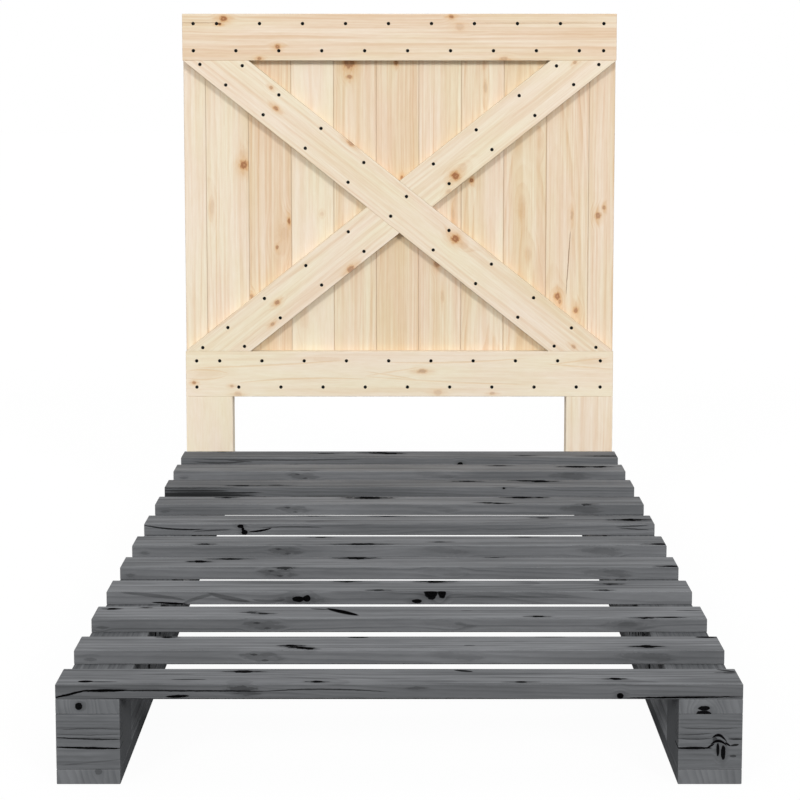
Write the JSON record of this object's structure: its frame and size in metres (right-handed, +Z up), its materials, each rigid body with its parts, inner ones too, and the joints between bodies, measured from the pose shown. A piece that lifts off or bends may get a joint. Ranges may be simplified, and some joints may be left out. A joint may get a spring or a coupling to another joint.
{
  "type": "bed frame",
  "caption": "Single slatted bed frame of pine on two box runners, with an upright plank headboard braced by a diagonal cross.",
  "frame": {"origin": "floor level, under the middle of the whole outline", "axes": "+Y from the foot end to the headboard, +Z up, +X to the right when the headboard is seen from the foot end"},
  "size_m": [0.9, 2.06, 1.04],
  "materials": {
    "natural_pine": "bare planed pine, satin",
    "grey_pine": "grey stained pine, matt",
    "black_screw": "black coated steel",
    "zinc_steel": "zinc plated"
  },
  "bodies": {
    "root": {"brace_long": "natural_pine", "brace_lower": "natural_pine", "brace_upper": "natural_pine", "headboard_bottom_batten": "natural_pine", "headboard_coach_screws": "zinc_steel", "headboard_leg_left": "natural_pine", "headboard_leg_right": "natural_pine", "headboard_plank_01": "natural_pine", "headboard_plank_02": "natural_pine", "headboard_plank_03": "natural_pine", "headboard_plank_04": "natural_pine", "headboard_plank_05": "natural_pine", "headboard_plank_06": "natural_pine", "headboard_plank_07": "natural_pine", "headboard_plank_08": "natural_pine", "headboard_plank_09": "natural_pine", "headboard_plank_10": "natural_pine", "headboard_plank_11": "natural_pine", "headboard_screws": "black_screw", "headboard_top_batten": "natural_pine", "joining_plate_screws": "zinc_steel", "joining_plates": "zinc_steel", "left_front_bottom_board": "grey_pine", "left_front_foot_block": "grey_pine", "left_front_inner_side": "grey_pine", "left_front_joint_block": "grey_pine", "left_front_outer_side": "grey_pine", "left_front_top_board": "grey_pine", "left_rear_bottom_board": "grey_pine", "left_rear_head_block": "grey_pine", "left_rear_inner_side": "grey_pine", "left_rear_joint_block": "grey_pine", "left_rear_outer_side": "grey_pine", "left_rear_top_board": "grey_pine", "right_front_bottom_board": "grey_pine", "right_front_foot_block": "grey_pine", "right_front_inner_side": "grey_pine", "right_front_joint_block": "grey_pine", "right_front_outer_side": "grey_pine", "right_front_top_board": "grey_pine", "right_rear_bottom_board": "grey_pine", "right_rear_head_block": "grey_pine", "right_rear_inner_side": "grey_pine", "right_rear_joint_block": "grey_pine", "right_rear_outer_side": "grey_pine", "right_rear_top_board": "grey_pine", "runner_dowels": "natural_pine", "runner_screws": "zinc_steel", "slat_01": "grey_pine", "slat_02": "grey_pine", "slat_03": "grey_pine", "slat_04": "grey_pine", "slat_05": "grey_pine", "slat_06": "grey_pine", "slat_07": "grey_pine", "slat_08": "grey_pine", "slat_09": "grey_pine", "slat_10": "grey_pine", "slat_11": "grey_pine", "slat_screws": "zinc_steel"}
  },
  "joints": []
}
